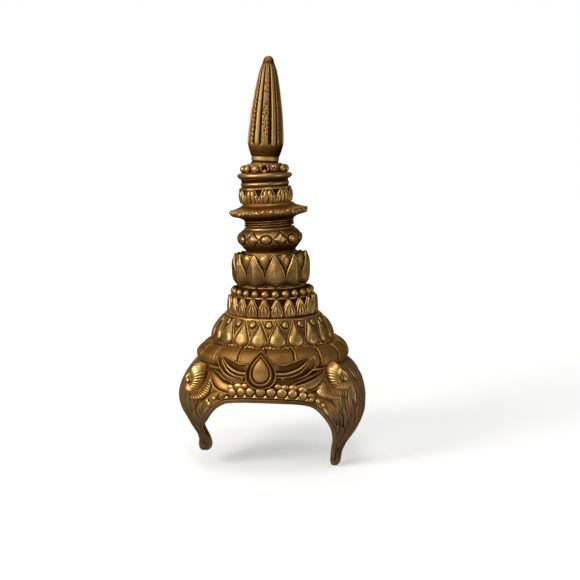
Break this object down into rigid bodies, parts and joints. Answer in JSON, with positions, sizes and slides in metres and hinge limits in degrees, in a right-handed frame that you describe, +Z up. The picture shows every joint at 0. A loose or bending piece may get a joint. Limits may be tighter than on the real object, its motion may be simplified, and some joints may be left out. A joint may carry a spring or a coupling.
{
  "type": "thai dance headdress",
  "caption": "Gold dance headdress: a hollow cap with ear flaps and a jewelled brow that carries a tall spire of stacked lotus tiers and a ribbed bud finial.",
  "frame": {"origin": "point inside the crown of the cap where the top of the wearer's head meets it", "axes": "+Z up along the cap's axis, -Y towards the wearer's front, +X towards the wearer's left"},
  "size_m": [0.2295, 0.2155, 0.4872],
  "materials": {
    "gold": "antique gold paint, worn bright on the raised leaves and dark brown in the recesses",
    "bright_gold": "antique gold paint, rubbed brighter",
    "dull_gold": "dull brown gold paint"
  },
  "bodies": {
    "root": {"beaded_disc": "gold", "beaded_tier": "gold", "brow_band": "bright_gold", "bulb": "gold", "cap": "dull_gold", "crescent_left": "gold", "crescent_right": "gold", "finial": "bright_gold", "front_jewel": "gold", "knob_collar": "gold", "leaf_drum": "gold", "leaf_ring": "gold", "leaf_roll": "gold", "petal_tier": "gold", "temple_leaf_left": "gold", "temple_leaf_right": "gold", "temple_scroll_left": "bright_gold", "temple_scroll_right": "bright_gold"}
  },
  "joints": []
}
